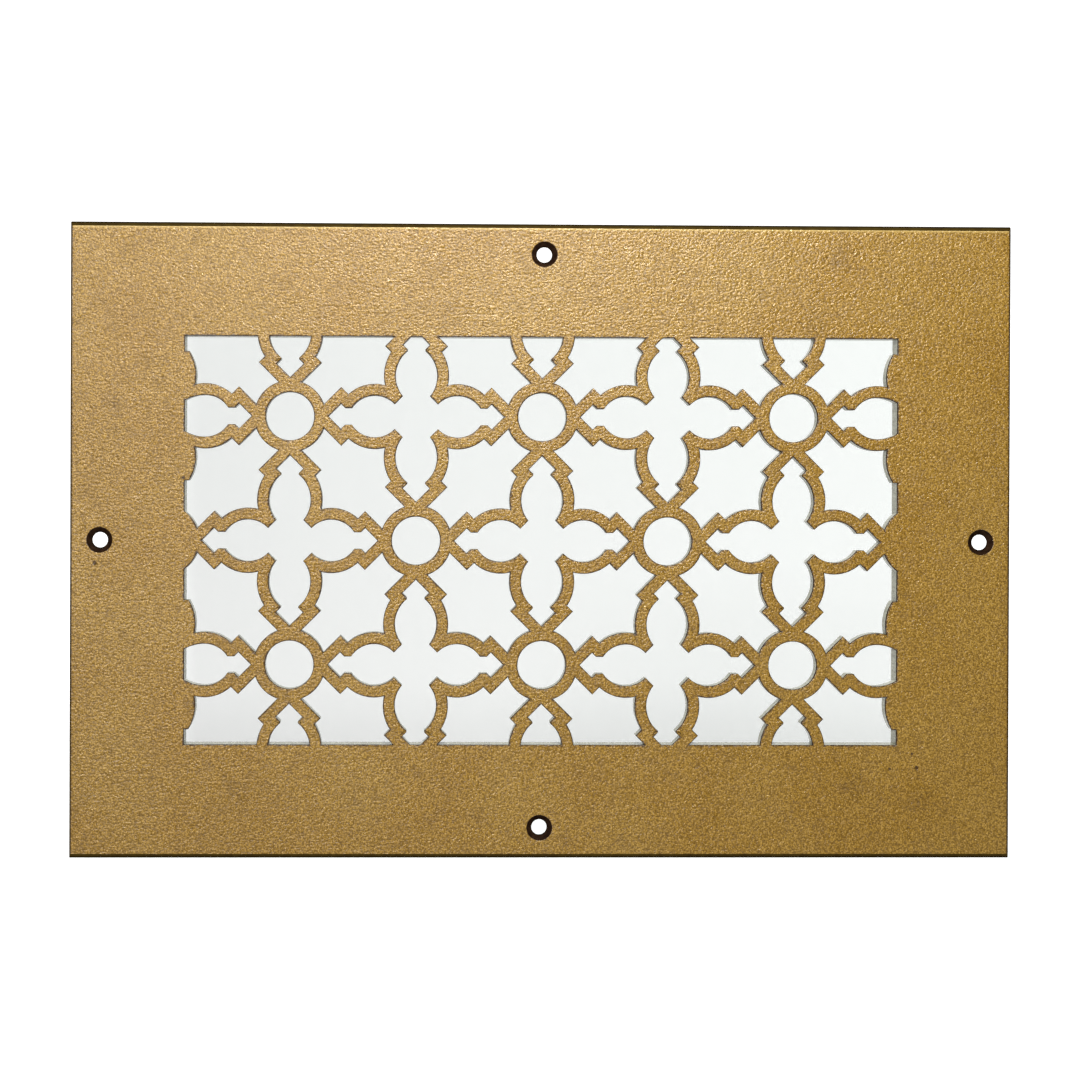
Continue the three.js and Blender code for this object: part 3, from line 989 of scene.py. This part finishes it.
def paperSweep():
    # a pale wall that curves down into the floor
    wallY = plateHigh.y + studio["wallGap"]
    floorZ = middleUp - studio["floorDrop"]
    bend, steps, side = studio["bend"], studio["bendSteps"], studio["halfWidth"]
    section = [(studio["floorFront"], floorZ)]
    for i in range(steps + 1):
        angle = math.pi / 2 * i / steps
        section.append((wallY - bend + bend * math.sin(angle), floorZ + bend - bend * math.cos(angle)))
    section.append((wallY, floorZ + studio["wallHeight"]))
    bm = bmesh.new()
    left, right = ([bm.verts.new((x, y, z)) for y, z in section] for x in (-side, side))
    for i in range(len(section) - 1):
        face = bm.faces.new((left[i], right[i], right[i + 1], left[i + 1]))
        face.smooth = True
    mesh = bpy.data.meshes.new("paperSweep")
    bm.to_mesh(mesh)
    bm.free()
    mesh.materials.append(palePaper())
    sweep = bpy.data.objects.new("paperSweep", mesh)
    bpy.context.scene.collection.objects.link(sweep)


def softLight(name, place, size, power, colour=(1, 1, 1)):
    lamp = bpy.data.lights.new(name, "AREA")
    lamp.shape = "RECTANGLE"
    lamp.size, lamp.size_y = size
    lamp.energy = power
    lamp.color = colour
    holder = bpy.data.objects.new(name, lamp)
    x, y, up = place
    holder.location = (x, y, middleUp + up)
    aim = Vector((0, 0, middleUp)) - holder.location
    holder.rotation_euler = aim.to_track_quat("-Z", "Y").to_euler()
    holder.visible_camera = False
    bpy.context.scene.collection.objects.link(holder)


def studioLight():
    softLight("keyLight", (0.04, -0.41, 0.34), (0.07, 0.07), 3.9)
    softLight("windowLight", (-0.48, -1.3, 0.4), (0.25, 0.25), 14.3, (1, 0.99, 1))
    softLight("fillLight", (-0.5, -2.2, 0.6), (2.0, 1.6), 1.5)
    world = bpy.data.worlds.new("studio")
    world.use_nodes = True
    nodes, links = world.node_tree.nodes, world.node_tree.links
    nodes["Background"].inputs[0].default_value = (1, 1, 1, 1)
    # a pale room where a view looks past the paper, and only faint light from it
    seen = nodes.new("ShaderNodeLightPath").outputs["Is Camera Ray"]
    strength = nodes.new("ShaderNodeMapRange")
    strength.inputs["To Min"].default_value = studio["ambient"]
    strength.inputs["To Max"].default_value = studio["room"]
    links.new(seen, strength.inputs["Value"])
    links.new(strength.outputs[0], nodes["Background"].inputs[1])
    bpy.context.scene.world = world


view = {
    "place": (-0.0446, -0.5564, 0.0212),
    "turn": (-0.1518, -0.2114, -0.9473),
    "focalPixels": 1629.7,
    "framePixels": 1080,
    "sensor": 36,
    "shift": (0.0952, -0.0533),
}


def photoCamera():
    data = bpy.data.cameras.new("photoView")
    data.sensor_width = view["sensor"]
    data.lens = view["focalPixels"] / view["framePixels"] * view["sensor"]
    data.shift_x, data.shift_y = view["shift"]
    camera = bpy.data.objects.new("photoView", data)
    x, y, up = view["place"]
    camera.location = (x, y, middleUp + up)
    pitch, roll, yaw = (math.radians(a) for a in view["turn"])
    camera.rotation_mode = "XYZ"
    camera.rotation_euler = (math.pi / 2 + pitch, roll, yaw)
    bpy.context.scene.collection.objects.link(camera)
    bpy.context.scene.camera = camera


paperSweep()
studioLight()
photoCamera()
bpy.context.scene.view_settings.view_transform = "Standard"
print("stage, lights and camera made")
